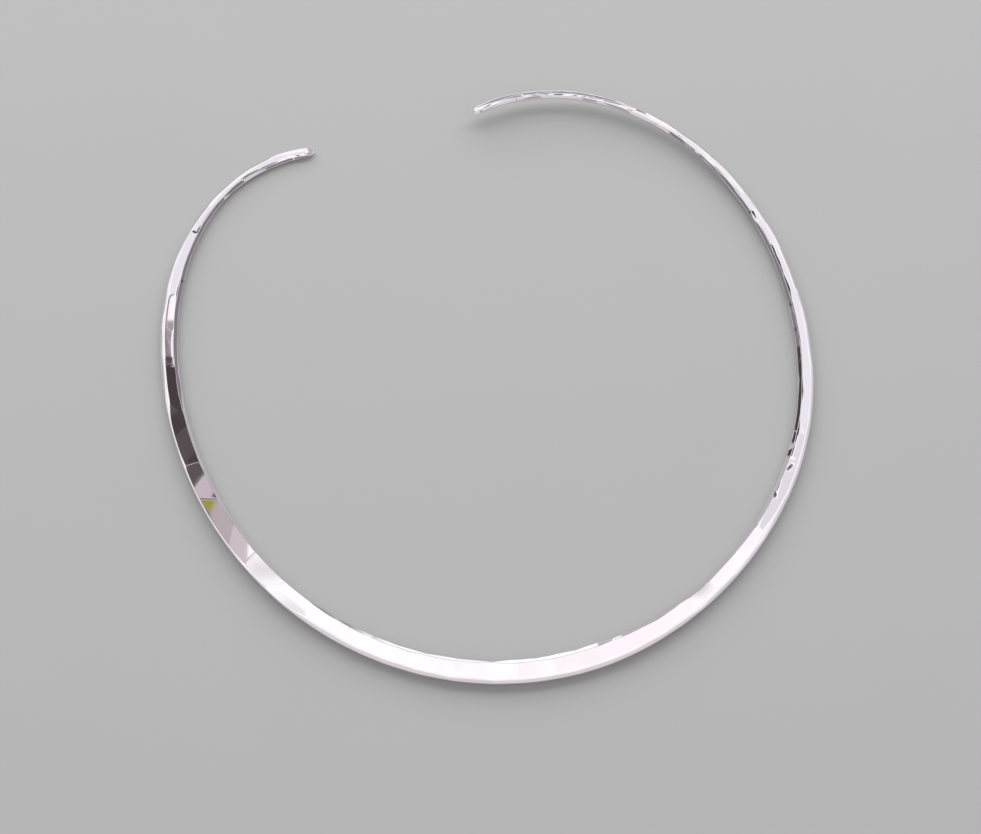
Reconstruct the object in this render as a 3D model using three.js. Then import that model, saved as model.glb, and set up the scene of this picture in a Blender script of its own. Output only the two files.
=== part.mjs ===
// A hand-hammered silver neck ring: one tapered bar, bent into an open ring that lies flat.
//
// Millimetres, +Z up. The wide front faces -Y, the gap at the back faces +Y, and the flat
// underside rests on Z = 0. The bar is described as a silversmith would gauge it, from its left
// end, round the front, to its right end: how tightly it is bent, and how wide and thick it is,
// at a few stations along its length. Everything between the stations is worked out from them.

import * as THREE from "three";

// ---- Driving dimensions ----

// at: distance along the bar. bend: radius of the bar's centreline there. The left end is a small
// rounded paddle, the front is the widest part, and the right arm is drawn out finer than the left.
const STATIONS = [
  { at: 0, bend: 29.5, width: 2.1, thickness: 1.2 },
  { at: 8, bend: 30.5, width: 2.5, thickness: 1.3 },
  { at: 20, bend: 33.5, width: 1.95, thickness: 1.6 },
  { at: 42, bend: 47, width: 3.5, thickness: 2.0 },
  { at: 64, bend: 74.5, width: 3.9, thickness: 2.2 },
  { at: 130, bend: 71, width: 4.95, thickness: 2.4 },
  { at: 190, bend: 66, width: 5.5, thickness: 2.4 },
  { at: 235, bend: 70, width: 4.15, thickness: 2.4 },
  { at: 258, bend: 53, width: 3.55, thickness: 2.3 },
  { at: 280, bend: 70.5, width: 3.3, thickness: 2.2 },
  { at: 305, bend: 65.5, width: 2.6, thickness: 2.0 },
  { at: 330, bend: 57, width: 1.95, thickness: 1.8 },
  { at: 355, bend: 45, width: 1.8, thickness: 1.7 },
  { at: 379, bend: 33, width: 1.9, thickness: 1.6 },
];
const BAR_LENGTH = STATIONS.at(-1).at;
const FIRST_HEADING = THREE.MathUtils.degToRad(-174.6); // which way the bar sets off at its left end
const BEND_STEP = 0.25; // the bend is followed in steps of this length

const ROUND_WIDTH = 1.8; // where the bar is this narrow its section is fully rounded
const SLAB_WIDTH = 5.2; // where it is this wide its section is a flat slab

const SPRING_FROM = 285; // the right arm springs gently off the surface, from here to its end
const SPRING_RISE = 2.0;

const END_ROUND = { left: 2.2, right: 1.0 }; // length over which each end is rounded off
const END_RINGS = 4;

const BLOW_SHORT = 0.6; // a hammer blow flattens a stretch of the bar between these shares
const BLOW_LONG = 1.1; // of its reach, which grows with the bar's width
const BLOW_REACH = { base: 1.6, perWidth: 0.75 };
const BLOW_EDGE = 0.07; // how far a blow moves an edge in or out
const BLOW_FACE = 0.04; // how far it moves the top face up or down
const BLOW_SEED = 41;

const CURVE_POINTS = 5; // points on each curved side of the section

const SILVER = { color: 0xe9e6ea, roughness: 0.12, metalness: 1 };

// ---- The bar's line ----

/** A gauge reading at a distance along the bar, in a straight line between its stations. */
function gauge(along, read) {
  const next = Math.max(1, STATIONS.findIndex((station) => station.at >= along));
  const [from, to] = [STATIONS[next - 1], STATIONS[next]];
  const share = THREE.MathUtils.inverseLerp(from.at, to.at, along);
  return THREE.MathUtils.lerp(read(from), read(to), share);
}

/** The bar's centreline, bent by the radius that each station asks for. */
class BentLine extends THREE.Curve {
  constructor() {
    super();
    this.stops = [{ x: 0, y: 0, heading: FIRST_HEADING }];
    for (let along = BEND_STEP / 2; along < BAR_LENGTH; along += BEND_STEP) {
      const { x, y, heading } = this.stops.at(-1);
      const turn = BEND_STEP * gauge(along, (station) => 1 / station.bend);
      const middle = heading + turn / 2;
      this.stops.push({
        x: x + BEND_STEP * Math.cos(middle),
        y: y + BEND_STEP * Math.sin(middle),
        heading: heading + turn,
      });
    }
  }

  /** The two stops around a share of the length, and how far it is from one to the other. */
  around(share) {
    const place = share * (this.stops.length - 1);
    const before = Math.min(Math.floor(place), this.stops.length - 2);
    return [this.stops[before], this.stops[before + 1], place - before];
  }

  getPoint(share, target = new THREE.Vector3()) {
    const [from, to, part] = this.around(share);
    return target.set(
      THREE.MathUtils.lerp(from.x, to.x, part),
      THREE.MathUtils.lerp(from.y, to.y, part),
      0,
    );
  }

  /** Points away from the middle of the ring, square to the bar. */
  getOutward(share) {
    const [from, to, part] = this.around(share);
    const heading = THREE.MathUtils.lerp(from.heading, to.heading, part);
    return new THREE.Vector3(Math.sin(heading), -Math.cos(heading), 0);
  }
}

// ---- The bar's section ----

/** A section's outline, in shares of its width (inner edge to outer edge) and of its height. */
function sectionPoints(shape) {
  const points = shape.getPoints(CURVE_POINTS);
  const box = new THREE.Box2().setFromPoints(points);
  const size = box.getSize(new THREE.Vector2());
  const middle = (box.min.x + box.max.x) / 2;
  return points.map((point) => ({
    out: (point.x - middle) / size.x,
    up: (point.y - box.min.y) / size.y,
  }));
}

/** The front's section: a crowned slab, soft outside, with a sharp sloping shoulder inside. */
function slabSection() {
  const shape = new THREE.Shape();
  shape.moveTo(0.36, 0);
  shape.quadraticCurveTo(0.5, 0.03, 0.5, 0.42);
  shape.quadraticCurveTo(0.5, 0.84, 0.27, 0.95);
  shape.quadraticCurveTo(-0.05, 1.05, -0.34, 0.93);
  shape.lineTo(-0.485, 0.5);
  shape.quadraticCurveTo(-0.52, 0.03, -0.38, 0);
  return sectionPoints(shape);
}

/** The ends' section: close to round, with the last of the shoulder still on it. */
function roundSection() {
  const shape = new THREE.Shape();
  shape.moveTo(0.2, 0);
  shape.quadraticCurveTo(0.47, 0.04, 0.5, 0.48);
  shape.quadraticCurveTo(0.49, 0.86, 0.22, 0.96);
  shape.quadraticCurveTo(0, 1.04, -0.24, 0.93);
  shape.lineTo(-0.45, 0.66);
  shape.quadraticCurveTo(-0.56, 0.08, -0.2, 0);
  return sectionPoints(shape);
}

// ---- The hammer ----

/** Evenly spread numbers from -1 to 1, the same ones each time. */
function steadyChance(seed) {
  const modulus = 2147483647;
  const multiplier = 48271;
  let state = seed;
  return () => {
    state = (state * multiplier) % modulus;
    return (2 * state) / modulus - 1;
  };
}

/** How much of the full section stands at a distance along the bar: less where an end rounds. */
function endShare(along) {
  const missing = Math.max(
    0,
    1 - along / END_ROUND.left,
    1 - (BAR_LENGTH - along) / END_ROUND.right,
  );
  return Math.sqrt(1 - missing * missing);
}

/** Distances from an end of the rings that round it off, closer together towards the tip. */
function roundedEnd(length) {
  const insets = [];
  for (let ring = 1; ring <= END_RINGS; ring += 1) {
    insets.push(length * (1 - Math.cos((ring / END_RINGS) * (Math.PI / 2))));
  }
  return insets;
}

/** Distances along the bar of the rings that shape it: those of the rounded ends, and one at the
 * edge of each hammer blow between them. */
function ringPlaces(chance) {
  const places = roundedEnd(END_ROUND.left);
  const rightEnd = roundedEnd(END_ROUND.right).map((inset) => BAR_LENGTH - inset).reverse();
  const blowStop = rightEnd[0];
  for (;;) {
    const along = places.at(-1);
    const reach = BLOW_REACH.base + BLOW_REACH.perWidth * gauge(along, (station) => station.width);
    const share = THREE.MathUtils.lerp(BLOW_SHORT, BLOW_LONG, (chance() + 1) / 2);
    if (along + reach > blowStop) break;
    places.push(along + reach * share);
  }
  return places.concat(rightEnd);
}

// ---- The solid ----

/** How far the underside is off the surface: nothing, but for the sprung right arm. */
function springRise(along) {
  return SPRING_RISE * THREE.MathUtils.smoothstep(along, SPRING_FROM, BAR_LENGTH);
}

/** One ring of points around the bar, knocked a little out of true by the hammer. */
function ring(line, along, sections, chance) {
  const share = along / BAR_LENGTH;
  const centre = line.getPoint(share);
  const outward = line.getOutward(share);
  const width = gauge(along, (station) => station.width);
  const thickness = gauge(along, (station) => station.thickness);
  const flatness = THREE.MathUtils.smoothstep(width, ROUND_WIDTH, SLAB_WIDTH);
  const standing = endShare(along);
  const edges = { outer: BLOW_EDGE * chance(), inner: BLOW_EDGE * chance() };
  const crown = BLOW_FACE * chance();
  return sections.slab.map((slab, index) => {
    const round = sections.round[index];
    const out = THREE.MathUtils.lerp(round.out, slab.out, flatness);
    const up = THREE.MathUtils.lerp(round.up, slab.up, flatness);
    const nudge = out > 0 ? edges.outer : -edges.inner;
    const across = standing * (width * out + 2 * Math.abs(out) * nudge);
    const height = thickness * (0.5 + standing * (up - 0.5)) + standing * crown * up;
    return centre.clone().addScaledVector(outward, across).setZ(height + springRise(along));
  });
}

/** The tip of the bar at one end, half-way up its thickness. */
function tipPoint(line, along) {
  const thickness = gauge(along, (station) => station.thickness);
  return line.getPoint(along / BAR_LENGTH).setZ(thickness / 2 + springRise(along));
}

/** Skins the rings, and closes each end on its tip. The first point is the left tip. */
function skin(rings, rightTip) {
  const around = rings[0].length;
  const at = (row, column) => 1 + row * around + (column % around);
  const faces = [];
  for (let column = 0; column < around; column += 1) {
    faces.push(0, at(0, column), at(0, column + 1));
    for (let row = 0; row + 1 < rings.length; row += 1) {
      const [here, there] = [at(row, column), at(row + 1, column)];
      const [hereNext, thereNext] = [at(row, column + 1), at(row + 1, column + 1)];
      faces.push(here, there, hereNext, hereNext, there, thereNext);
    }
    faces.push(rightTip, at(rings.length - 1, column + 1), at(rings.length - 1, column));
  }
  return faces;
}

/** The whole bar, with the middle of its outline at X = 0, Y = 0. */
function torcGeometry() {
  const line = new BentLine();
  const chance = steadyChance(BLOW_SEED);
  const sections = { slab: slabSection(), round: roundSection() };
  const places = ringPlaces(chance);
  const rings = places.map((along) => ring(line, along, sections, chance));
  const points = [tipPoint(line, 0), ...rings.flat(), tipPoint(line, BAR_LENGTH)];
  const geometry = new THREE.BufferGeometry().setFromPoints(points);
  geometry.setIndex(skin(rings, points.length - 1));
  geometry.computeBoundingBox();
  const middle = geometry.boundingBox.getCenter(new THREE.Vector3());
  geometry.translate(-middle.x, -middle.y, -geometry.boundingBox.min.z);
  geometry.computeVertexNormals();
  return geometry;
}

const torc = new THREE.Mesh(torcGeometry(), new THREE.MeshStandardMaterial(SILVER));
torc.name = "torc";

const group = new THREE.Group();
group.add(torc);

export default group;
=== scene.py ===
"""A hand-hammered silver neck ring, lying flat on a pale studio floor.

The ring is one tapered bar. Its line is bent by the radius that each station along it asks for,
its section is swept along that line, and hammer blows then flatten the swept skin into facets.
Metres, +Z up: the wide front faces -Y, the gap at the back faces +Y, the underside rests on Z = 0.
"""

from __future__ import annotations

import logging
import math
from dataclasses import dataclass
from enum import Enum

import bpy
from bpy.types import ID, Material, Mesh, Node, NodeOutputs, NodeTree, Object
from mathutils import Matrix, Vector


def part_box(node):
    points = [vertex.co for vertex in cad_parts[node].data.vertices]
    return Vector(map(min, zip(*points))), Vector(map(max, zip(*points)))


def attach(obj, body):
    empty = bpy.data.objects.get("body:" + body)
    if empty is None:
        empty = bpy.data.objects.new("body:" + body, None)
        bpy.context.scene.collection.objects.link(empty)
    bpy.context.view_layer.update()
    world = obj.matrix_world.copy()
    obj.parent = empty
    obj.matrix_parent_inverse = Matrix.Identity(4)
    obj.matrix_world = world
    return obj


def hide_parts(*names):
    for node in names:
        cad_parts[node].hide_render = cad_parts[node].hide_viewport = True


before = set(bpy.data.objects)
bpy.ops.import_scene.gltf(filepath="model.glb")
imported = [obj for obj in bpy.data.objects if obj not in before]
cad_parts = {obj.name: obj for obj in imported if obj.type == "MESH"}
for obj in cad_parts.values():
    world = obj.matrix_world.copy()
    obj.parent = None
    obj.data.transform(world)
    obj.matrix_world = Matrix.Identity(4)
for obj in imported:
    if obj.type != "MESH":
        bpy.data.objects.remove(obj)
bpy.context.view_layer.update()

LOG = logging.getLogger("torc")
MM = 0.001

Socket = bpy.types.NodeSocket
Feed = Socket | float | int | str | bool | tuple
Feeds = dict[int | str, Feed]
Pair = tuple[float, float]
Trio = tuple[float, float, float]
Colour = Trio


# ---- Node trees ----

FLOAT, VECTOR, INTEGER = "NodeSocketFloat", "NodeSocketVector", "NodeSocketInt"
GEOMETRY, OBJECT, MATERIAL = "NodeSocketGeometry", "NodeSocketObject", "NodeSocketMaterial"
SHEET_COLUMNS, COLUMN_WIDTH, ROW_HEIGHT = 12, 180.0, 220.0


@dataclass
class NodeSheet:
    """Lays nodes out in one geometry or shader tree, and joins them up."""

    tree: NodeTree

    def add(self, kind: str, feeds: Feeds | None = None, **settings: object) -> Node:
        """Adds one node.

        Args:
            kind: its full type name.
            feeds: what goes into each input, by its place or name.
            **settings: its own settings.

        Returns:
            The node.
        """
        node = self.tree.nodes.new(kind)
        for name, value in settings.items():
            setattr(node, name, value)
        for key, value in (feeds or {}).items():
            self.feed(node, key, value)
        row, column = divmod(len(self.tree.nodes), SHEET_COLUMNS)
        node.location = (COLUMN_WIDTH * column, -ROW_HEIGHT * row)
        return node

    def feed(self, node: Node, key: int | str, value: Feed) -> None:
        """Joins an input to an output, or sets it to a plain value.

        Args:
            node: the node.
            key: the input's place, or its identifier or name among those in use.
            value: the output, or the value.
        """
        if isinstance(key, int):
            socket = node.inputs[key]
        else:
            socket = next(s for s in node.inputs if s.enabled and key in (s.identifier, s.name))
        if isinstance(value, Socket):
            self.tree.links.new(value, socket)
        else:
            socket.default_value = value

    def value(
        self, kind: str, feeds: Feeds | None = None, out: int | str = 0, **settings: object
    ) -> Socket:
        """Adds one node for one of its outputs.

        Args:
            kind: its full type name.
            feeds: what goes into each input.
            out: the output's place, identifier or name.
            **settings: its own settings.

        Returns:
            The output.
        """
        outputs = self.add(kind, feeds, **settings).outputs
        if isinstance(out, int):
            return outputs[out]
        return next(socket for socket in outputs if out in (socket.identifier, socket.name))

    def math(self, operation: str, *values: Feed, clamp: bool = False) -> Socket:
        """One step of arithmetic on its inputs in order, kept from 0 to 1 if clamped."""
        feeds = dict(enumerate(values))
        return self.value("ShaderNodeMath", feeds, operation=operation, use_clamp=clamp)

    def plus(self, first: Feed, second: Feed) -> Socket:
        """The sum of two numbers."""
        return self.math("ADD", first, second)

    def minus(self, first: Feed, second: Feed) -> Socket:
        """The first number less the second."""
        return self.math("SUBTRACT", first, second)

    def times(self, first: Feed, second: Feed) -> Socket:
        """The product of two numbers."""
        return self.math("MULTIPLY", first, second)

    def line(self, value: Feed, slope: Feed, start: Feed) -> Socket:
        """A number times a slope, plus a start."""
        return self.math("MULTIPLY_ADD", value, slope, start)

    def vector(self, operation: str, *values: Feed) -> Socket:
        """One step of vector arithmetic.

        Args:
            operation: the Vector Math node's operation; SCALE takes its factor second.
            *values: its inputs in order.

        Returns:
            The result, a number for DOT_PRODUCT and LENGTH.
        """
        feeds = dict(enumerate(values))
        if operation == "SCALE":
            feeds["Scale"] = feeds.pop(1)
        out = "Value" if operation in ("DOT_PRODUCT", "LENGTH") else "Vector"
        return self.value("ShaderNodeVectorMath", feeds, out, operation=operation)

    def combine(self, x: Feed = 0.0, y: Feed = 0.0, z: Feed = 0.0) -> Socket:
        """A vector of three numbers."""
        return self.value("ShaderNodeCombineXYZ", {0: x, 1: y, 2: z})

    def split(self, vector: Feed) -> NodeOutputs:
        """The three numbers of a vector."""
        return self.add("ShaderNodeSeparateXYZ", {0: vector}).outputs

    def reading(self, name: str, kind: str = "FLOAT") -> Socket:
        """A named reading that the line or the section carries."""
        return self.value("GeometryNodeInputNamedAttribute", {"Name": name}, data_type=kind)

    def ramp(self, value: Feed, low: Feed, high: Feed, start: float = 0.0, end: float = 1.0) -> Socket:
        """A smooth rise, from start where the value is low to end where it is high."""
        feeds = {"Value": value, "From Min": low, "From Max": high, "To Min": start, "To Max": end}
        return self.value("ShaderNodeMapRange", feeds, interpolation_type="SMOOTHSTEP")

    def noise(self, vector: Socket, scale: Feed, detail: float, roughness: float = 0.5) -> Socket:
        """Soft noise at a place."""
        feeds = {"Vector": vector, "Scale": scale, "Detail": detail, "Roughness": roughness}
        return self.value("ShaderNodeTexNoise", feeds, "Fac")

    def tint(self, share: Feed, first: Feed | Colour, second: Colour, blend: str = "MIX") -> Socket:
        """Mixes a second colour into a first one.

        Args:
            share: how much of the second.
            first: the first colour.
            second: the second colour.
            blend: the way of mixing.

        Returns:
            The mixed colour.
        """
        start = first if isinstance(first, Socket) else (*first, 1.0)
        feeds = {"Factor_Float": share, "A_Color": start, "B_Color": (*second, 1.0)}
        settings = {"data_type": "RGBA", "blend_type": blend}
        return self.value("ShaderNodeMix", feeds, "Result_Color", **settings)


def new_group(
    name: str, kind: str, inputs: dict[str, str | float], outputs: dict[str, str]
) -> tuple[NodeSheet, NodeOutputs, Node]:
    """Starts a node group.

    Args:
        name: its name.
        kind: its tree type.
        inputs: each input's socket type, or its number by default.
        outputs: each output's socket type.

    Returns:
        The sheet to lay nodes on, what the group is given, and its output node.
    """
    tree = bpy.data.node_groups.new(name, kind)
    for label, given in inputs.items():
        socket_type = given if isinstance(given, str) else FLOAT
        socket = tree.interface.new_socket(label, in_out="INPUT", socket_type=socket_type)
        if socket_type is not given:
            socket.default_value = given
    for label, socket_type in outputs.items():
        tree.interface.new_socket(label, in_out="OUTPUT", socket_type=socket_type)
    sheet = NodeSheet(tree)
    return sheet, sheet.add("NodeGroupInput").outputs, sheet.add("NodeGroupOutput")


def new_material(name: str) -> tuple[Material, NodeSheet, Node]:
    """Starts a material.

    Args:
        name: its name.

    Returns:
        The material, the sheet to lay its nodes on, and its surface shader.
    """
    material = bpy.data.materials.new(name)
    material.use_nodes = True
    sheet = NodeSheet(material.node_tree)
    return material, sheet, sheet.tree.nodes["Principled BSDF"]


# ---- Shader groups that more than one finish uses ----


class Effect(Enum):
    """The effects on the metal that its finishes share."""

    SCRATCHES = "fine_scratches"
    TARNISH = "soft_tarnish"
    RIPPLE = "hammered_ripple"


def fine_scratches() -> NodeTree:
    """Hairline marks of polishing, drawn out along the bar.

    Returns:
        The group, with a mask of the marks.
    """
    inputs = {"Vector": VECTOR, "Across": 9000.0, "Along": 350.0, "Share": 0.4, "Contrast": 4.0}
    sheet, take, made = new_group(Effect.SCRATCHES.value, "ShaderNodeTree", inputs, {"Mask": FLOAT})
    along, across, _ = sheet.split(take["Vector"])
    drawn = sheet.combine(sheet.times(along, take["Along"]), sheet.times(across, take["Across"]))
    worn = sheet.minus(sheet.noise(drawn, scale=1.0, detail=3.0), sheet.minus(1.0, take["Share"]))
    sheet.feed(made, "Mask", sheet.math("MULTIPLY", worn, take["Contrast"], clamp=True))
    return sheet.tree


def soft_tarnish() -> NodeTree:
    """Cloudy darkening of silver that is handled and wiped.

    Returns:
        The group, with a mask of the clouds.
    """
    inputs = {"Vector": VECTOR, "Scale": 90.0, "Low": 0.45, "High": 0.75}
    sheet, take, made = new_group(Effect.TARNISH.value, "ShaderNodeTree", inputs, {"Mask": FLOAT})
    clouds = sheet.noise(take["Vector"], take["Scale"], detail=5.0, roughness=0.6)
    sheet.feed(made, "Mask", sheet.ramp(clouds, take["Low"], take["High"]))
    return sheet.tree


def hammered_ripple() -> NodeTree:
    """The slight waviness that polishing leaves between the blows, as a height.

    Returns:
        The group, with a height in metres.
    """
    inputs = {"Vector": VECTOR, "Scale": 500.0, "Height": 2e-6}
    sheet, take, made = new_group(Effect.RIPPLE.value, "ShaderNodeTree", inputs, {"Height": FLOAT})
    waves = sheet.noise(take["Vector"], take["Scale"], detail=2.0)
    sheet.feed(made, "Height", sheet.times(waves, take["Height"]))
    return sheet.tree


EFFECT_MAKERS = {
    Effect.SCRATCHES: fine_scratches,
    Effect.TARNISH: soft_tarnish,
    Effect.RIPPLE: hammered_ripple,
}


# ---- Finishes ----

BAR_MAP = "bar_map"
NICK_SHADE = "grime"


@dataclass(frozen=True)
class SilverFinish:
    """Silver as it leaves the polishing mop, or as it wears on a bench.

    Tarnish, as strong as it is given from 0 to 1, turns the clean colour to the shade. Dulling,
    marking and nick gain are what tarnish, scratches and the nicks add to the roughness; the
    nicks also take a painted shade, a near-black colour standing in for the shade in them. The
    scratches cover a share of the metal, and their depth and the polishing ripple are in metres.
    """

    name: str
    colour: Colour
    shade: Colour
    tarnish: float
    roughness: float
    dulling: float
    marking: float
    scratch_share: float
    scratch_depth: float
    ripple: float
    # painted shade: the near-black colour painted into the nicks, and the roughness the nicks add
    grime: Colour = (0.13, 0.1, 0.1)
    nick_gain: float = 0.3

    def build(self, effects: dict[Effect, NodeTree]) -> Material:
        """Makes the material.

        Args:
            effects: the groups of the shared effects.

        Returns:
            The material.
        """
        material, sheet, metal = new_material(self.name)
        place = sheet.value("ShaderNodeTexCoord", out="Object")
        along = sheet.value("ShaderNodeUVMap", uv_map=BAR_MAP)
        clouds, marks, ripple = (
            sheet.value("ShaderNodeGroup", feeds, node_tree=effects[effect])
            for effect, feeds in (
                (Effect.TARNISH, {"Vector": place}),
                (Effect.SCRATCHES, {"Vector": along, "Share": self.scratch_share}),
                (Effect.RIPPLE, {"Vector": place, "Height": self.ripple}),
            )
        )
        colour = sheet.tint(sheet.times(clouds, self.tarnish), self.colour, self.shade)
        # painted shade: where the nicks are, the colour is darkened and the metal dulled
        shaded_nick = sheet.value("ShaderNodeAttribute", out="Fac", attribute_name=NICK_SHADE)
        dulled = sheet.line(clouds, self.dulling, self.roughness)
        dulled = sheet.line(shaded_nick, self.nick_gain, dulled)
        height = sheet.line(marks, -self.scratch_depth, ripple)
        feeds = {"Height": height, "Distance": 1.0, "Strength": 1.0}
        sheet.feed(metal, "Metallic", 1.0)
        # painted shade: the colour turns to the near-black one in the nicks
        sheet.feed(metal, "Base Color", sheet.tint(shaded_nick, colour, self.grime))
        sheet.feed(metal, "Roughness", sheet.line(marks, self.marking, dulled))
        sheet.feed(metal, "Normal", sheet.value("ShaderNodeBump", feeds))
        return material


POLISHED = SilverFinish(
    name="polished_silver",
    colour=(0.94, 0.925, 0.935),
    shade=(0.86, 0.81, 0.82),
    tarnish=0.25,
    roughness=0.025,
    dulling=0.02,
    marking=0.012,
    scratch_share=0.42,
    scratch_depth=5e-9,
    ripple=2e-7,
)
RESTED = SilverFinish(
    name="rested_silver",
    colour=(0.9, 0.885, 0.89),
    shade=(0.66, 0.6, 0.57),
    tarnish=0.7,
    roughness=0.16,
    dulling=0.1,
    marking=0.14,
    scratch_share=0.55,
    scratch_depth=8e-7,
    ripple=1.5e-6,
)


# ---- The bar's line and sections ----

SAME_PLACE = 1e-9  # places along the bar closer than this are one place, in millimetres


@dataclass(frozen=True)
class Station:
    """The bar as gauged at a distance along it: its bend's radius, width and thickness."""

    at: float
    bend: float
    width: float
    thickness: float


@dataclass(frozen=True)
class BlowRow:
    """One row of hammer blows along the bar, all on the same side of it, in millimetres.

    Attributes:
        name: which side.
        slab: which way it faces on the flat section, in degrees: 0 is outward, 90 up.
        round: which way it faces on the rounded section.
        rate: blows for each beat along the bar.
        phase: where in a beat the row starts.
        base: how far every blow cuts in: into the slab, into the round, and by crisp edges.
        cut: how much further the deepest blow cuts in.
        turn: how far a blow may roll round the bar, in degrees.
        tip: how far it may tip along the bar, in degrees.
        dish: how far its face curves up over one millimetre from its middle.
        soft: how softly the row meets its neighbours, in the three places of base.
    """

    name: str
    slab: float
    round: float
    rate: float = 1.0
    phase: float = 0.0
    base: Trio = (0.0, 0.0, 0.0)
    cut: float = 0.05
    turn: float = 3.0
    tip: float = 1.0
    dish: float = 0.004
    soft: Trio = (0.06, 0.06, 0.06)


@dataclass(frozen=True)
class Nick:
    """A small slanted nick in the top of the bar, in millimetres.

    Attributes:
        at: distance along the bar.
        across: where it is across the bar, as a share of its width: outward is positive.
        slant: how far it leans outward from the bar's line, in degrees.
        length: along itself.
        width: square to that.
        depth: at its middle.
    """

    at: float
    across: float
    slant: float
    length: float
    width: float
    depth: float


@dataclass
class BarLine:
    """The bar's centreline, and its gauges between the stations, in millimetres.

    Attributes:
        stations: the bar's gauges, from the left end, round the front, to the right end.
        heading: which way the bar sets off at its left end, in degrees.
        step: the bend is followed in steps of this length.
        spring: where the right arm starts to rise off the surface, and its rise at its end.
        crisp: where the edges start to sharpen, are sharp, start to soften and are soft again.
        rounding: lengths over which the left and right ends are rounded.
        end_rings: rings in each rounded end.
        pitch: spacing of the rings between the ends.
        round_width: where the bar is this narrow its section is fully rounded.
        slab_width: where it is this wide its section is a flat slab.
        blow_base: reach of a hammer blow on a bar of no width.
        blow_per_width: how much the reach grows with the width.
    """

    stations: tuple[Station, ...]
    heading: float = -174.6
    step: float = 0.25
    spring: Pair = (285.0, 2.0)
    crisp: tuple[float, float, float, float] = (66.0, 80.0, 116.0, 132.0)
    rounding: Pair = (2.2, 1.0)
    end_rings: tuple[int, int] = (14, 10)
    pitch: float = 0.225
    round_width: float = 1.8
    slab_width: float = 5.2
    blow_base: float = 1.35
    blow_per_width: float = 0.62

    @property
    def length(self) -> float:
        """The whole bar's length."""
        return self.stations[-1].at

    def gauge(self, along: float, name: str) -> float:
        """A gauge between its stations, in a straight line.

        Args:
            along: distance along the bar.
            name: the gauge; "bend" is read as a curvature.

        Returns:
            The gauge there.
        """
        last = len(self.stations) - 1
        after = max(1, next((i for i, s in enumerate(self.stations) if s.at >= along), last))
        start, end = self.stations[after - 1], self.stations[after]
        share = (along - start.at) / (end.at - start.at)
        low, high = getattr(start, name), getattr(end, name)
        if name == "bend":
            low, high = 1.0 / low, 1.0 / high
        return low + (high - low) * share

    def flatness(self, along: float) -> float:
        """How much of the slab section the bar has there."""
        width = self.gauge(along, "width")
        return smooth_step(width, self.round_width, self.slab_width)

    def crispness(self, along: float) -> float:
        """How crisp the edges are there."""
        start, sharp, end, soft = self.crisp
        return smooth_step(along, start, sharp) - smooth_step(along, end, soft)

    def standing(self, along: float) -> float:
        """How much of the full section stands: less where an end rounds off.

        Args:
            along: distance along the bar.

        Returns:
            The share that stands there.
        """
        left, right = self.rounding
        missing = max(0.0, 1.0 - along / left, 1.0 - (self.length - along) / right)
        return math.sqrt(max(0.0, 1.0 - missing * missing))

    def rise(self, along: float) -> float:
        """How far the underside is off the surface there."""
        start, height = self.spring
        return height * smooth_step(along, start, self.length)

    def places(self) -> list[float]:
        """Where the rings stand: evenly, and closer together towards each tip.

        Returns:
            Distances along the bar.
        """
        left, right = self.rounding
        quarter = math.pi / 2
        start, end = (
            [length * (1.0 - math.cos(quarter * i / count)) for i in range(count)]
            for length, count in zip(self.rounding, self.end_rings, strict=True)
        )
        plain = self.length - left - right
        count = round(plain / self.pitch)
        middle = [left + plain * i / count for i in range(count + 1)]
        return start + middle + [self.length - inset for inset in reversed(end)]

    def walk(self) -> list[dict[str, float | Vector]]:
        """Follows the bend and reads every gauge at each ring.

        Returns:
            One reading for each ring, in metres, with its place and its outward direction.
        """
        readings: list[dict[str, float | Vector]] = []
        spot, heading, along, beats = Vector((0.0, 0.0, 0.0)), math.radians(self.heading), 0.0, 0.0
        for place in self.places():
            while along < place - SAME_PLACE:
                stride = min(self.step, place - along)
                turn = stride * self.gauge(along + stride / 2, "bend")
                middle = heading + turn / 2
                spot = spot + Vector((math.cos(middle), math.sin(middle), 0.0)) * stride
                beats += stride / self.blow_reach(along + stride / 2)
                heading, along = heading + turn, along + stride
            lengths = {
                "along": place,
                "width": self.gauge(place, "width"),
                "thickness": self.gauge(place, "thickness"),
                "rise": self.rise(place),
                "reach": self.blow_reach(place),
            }
            reading = {name: length * MM for name, length in lengths.items()}
            reading["centre"] = spot * MM
            reading["outward"] = Vector((math.sin(heading), -math.cos(heading), 0.0))
            reading["flatness"] = self.flatness(place)
            reading["crispness"] = self.crispness(place)
            reading["standing"] = self.standing(place)
            reading["beats"] = beats
            readings.append(reading)
        return readings

    def blow_reach(self, along: float) -> float:
        """Length of bar that one hammer blow flattens there."""
        return self.blow_base + self.blow_per_width * self.gauge(along, "width")


def smooth_step(value: float, low: float, high: float) -> float:
    """A smooth rise from 0 at low to 1 at high."""
    share = min(1.0, max(0.0, (value - low) / (high - low)))
    return share * share * (3.0 - 2.0 * share)


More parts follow.
